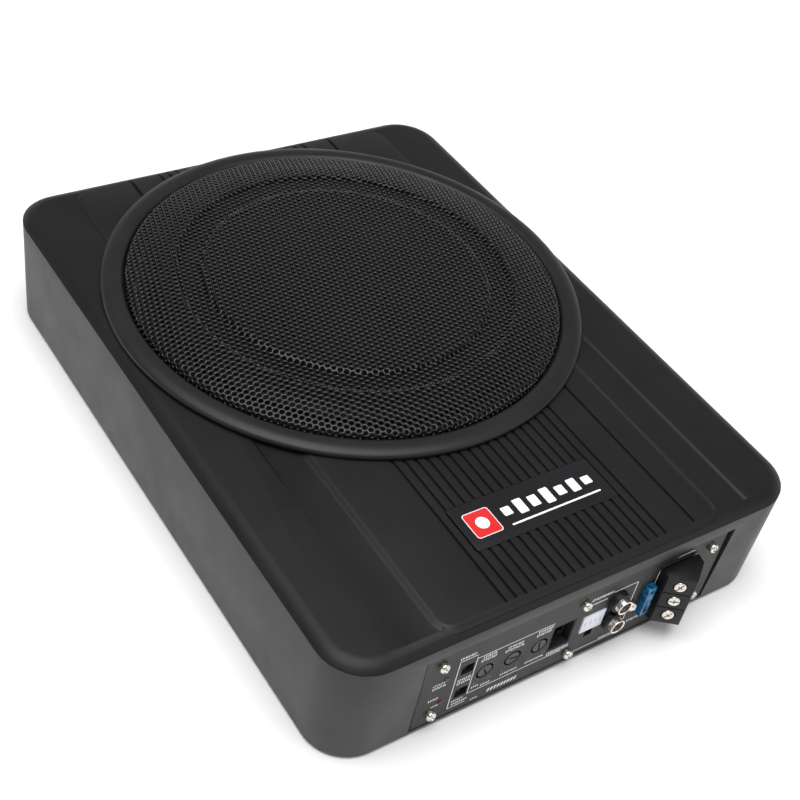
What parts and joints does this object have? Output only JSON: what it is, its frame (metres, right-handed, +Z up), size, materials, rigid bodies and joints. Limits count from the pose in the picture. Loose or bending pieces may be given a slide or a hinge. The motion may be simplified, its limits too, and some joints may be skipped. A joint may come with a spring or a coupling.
{
  "type": "powered car subwoofer",
  "caption": "Slim under-seat powered subwoofer: flat rounded box with a ribbed lid, round domed grille and an end panel with controls, sockets and a fuse.",
  "frame": {"origin": "middle of the underside, on the surface it stands on", "axes": "+Z up through the lid and grille, +Y along the length away from the control panel, +X across the width, to the right when facing the panel"},
  "size_m": [0.26, 0.3578, 0.0753],
  "materials": {
    "cast_black": "matt textured black coating",
    "cover_black": "fine satin grain, black",
    "ring_black": "satin black",
    "grille_steel": "black painted perforated sheet",
    "plate_steel": "dark painted sheet",
    "badge": "satin black, blank",
    "panel_grey": "dark grey powder coat",
    "screw_nickel": "bright nickel plate",
    "jack_brass": "gold flash",
    "jack_red": "dark red",
    "black_plastic": "moulded black",
    "white_nylon": "moulded white",
    "pot_grey": "dark grey",
    "led_clear": "clear lens, unlit",
    "led_red": "red lens, unlit",
    "fuse_blue": "translucent blue",
    "terminal_black": "moulded black",
    "board_green": "solder mask",
    "copper": "enamelled copper wire",
    "aluminium": "mill finish",
    "cap_sleeve": "dark blue sleeve",
    "paper_cone": "black pressed fibre",
    "rubber": "matt",
    "spider_cloth": "impregnated cotton",
    "ferrite": "ground ferrite",
    "zinc_steel": "zinc plated"
  },
  "bodies": {
    "enclosure": {"lower_casing": "cast_black", "bottom_plate": "plate_steel", "top_cover": "cover_black", "badge_plate": "badge", "grille_ring": "ring_black", "grille_mesh": "grille_steel", "woofer_basket": "zinc_steel", "surround": "rubber", "spider": "spider_cloth", "top_plate": "zinc_steel", "magnet": "ferrite", "yoke": "zinc_steel", "control_panel": "panel_grey", "panel_screw_top_left": "screw_nickel", "panel_screw_top_mid": "screw_nickel", "panel_screw_top_right": "screw_nickel", "panel_screw_low_left": "screw_nickel", "panel_screw_low_mid": "screw_nickel", "panel_screw_low_right": "screw_nickel", "jack_screw": "screw_nickel", "led_power": "led_clear", "led_protect": "led_red", "phase_switch_body": "black_plastic", "mode_switch_body": "black_plastic", "crossover_pot_body": "black_plastic", "boost_pot_body": "black_plastic", "level_pot_body": "black_plastic", "remote_socket": "black_plastic", "line_header": "white_nylon", "jack_block": "black_plastic", "jack_shell_upper": "jack_brass", "jack_shell_lower": "jack_brass", "jack_insert_upper": "jack_red", "jack_insert_lower": "jack_red", "fuse_holder": "black_plastic", "power_socket": "black_plastic", "amplifier_board": "board_green", "board_post_1": "zinc_steel", "board_post_2": "zinc_steel", "board_post_3": "zinc_steel", "board_post_4": "zinc_steel", "toroid_transformer": "copper", "capacitor_1": "cap_sleeve", "capacitor_2": "cap_sleeve", "heat_bar": "aluminium"},
    "cone_group": {"cone": "paper_cone", "dust_cap": "paper_cone", "voice_coil": "copper"},
    "crossover_knob": {"crossover_pot_shaft": "pot_grey"},
    "boost_knob": {"boost_pot_shaft": "pot_grey"},
    "level_knob": {"level_pot_shaft": "pot_grey"},
    "phase_slider": {"phase_switch_slider": "black_plastic"},
    "mode_slider": {"mode_switch_slider": "black_plastic"},
    "plug": {"power_plug": "terminal_black"},
    "terminal_screw_1": {"plug_screw_1": "screw_nickel"},
    "terminal_screw_2": {"plug_screw_2": "screw_nickel"},
    "terminal_screw_3": {"plug_screw_3": "screw_nickel"},
    "fuse": {"fuse_body": "fuse_blue", "fuse_element": "zinc_steel"}
  },
  "joints": [
    {"name": "cone_travel", "type": "slide", "parent": "enclosure", "child": "cone_group", "axis": [0, 0, 1], "range_m": [-0.004, 0.004], "stiffness_N_per_m": 6000, "deforming": ["surround", "spider"]},
    {"name": "crossover_pot_turn", "type": "hinge", "parent": "enclosure", "child": "crossover_knob", "pos_m": [-0.0512, -0.1713, 0.0262], "axis": [0, -1, 0], "range_deg": [-150, 150]},
    {"name": "boost_pot_turn", "type": "hinge", "parent": "enclosure", "child": "boost_knob", "pos_m": [-0.0358, -0.1713, 0.0262], "axis": [0, -1, 0], "range_deg": [-150, 150]},
    {"name": "level_pot_turn", "type": "hinge", "parent": "enclosure", "child": "level_knob", "pos_m": [-0.0206, -0.1713, 0.0262], "axis": [0, -1, 0], "range_deg": [-150, 150]},
    {"name": "phase_slide", "type": "slide", "parent": "enclosure", "child": "phase_slider", "axis": [1, 0, 0], "range_m": [0, 0.0026]},
    {"name": "mode_slide", "type": "slide", "parent": "enclosure", "child": "mode_slider", "axis": [1, 0, 0], "range_m": [0, 0.0026]},
    {"name": "plug_pull", "type": "slide", "parent": "enclosure", "child": "plug", "axis": [0, -1, 0], "range_m": [0, 0.012]},
    {"name": "terminal_screw_1_turn", "type": "hinge", "parent": "plug", "child": "terminal_screw_1", "pos_m": [0.0519, -0.18105, 0.0396], "axis": [-0.6114, -0.7913, 0], "continuous": true},
    {"name": "terminal_screw_2_turn", "type": "hinge", "parent": "plug", "child": "terminal_screw_2", "pos_m": [0.0519, -0.18105, 0.0294], "axis": [-0.6114, -0.7913, 0], "continuous": true},
    {"name": "terminal_screw_3_turn", "type": "hinge", "parent": "plug", "child": "terminal_screw_3", "pos_m": [0.0519, -0.18105, 0.0192], "axis": [-0.6114, -0.7913, 0], "continuous": true},
    {"name": "fuse_pull", "type": "slide", "parent": "enclosure", "child": "fuse", "axis": [0, -1, 0], "range_m": [0, 0.012]}
  ]
}
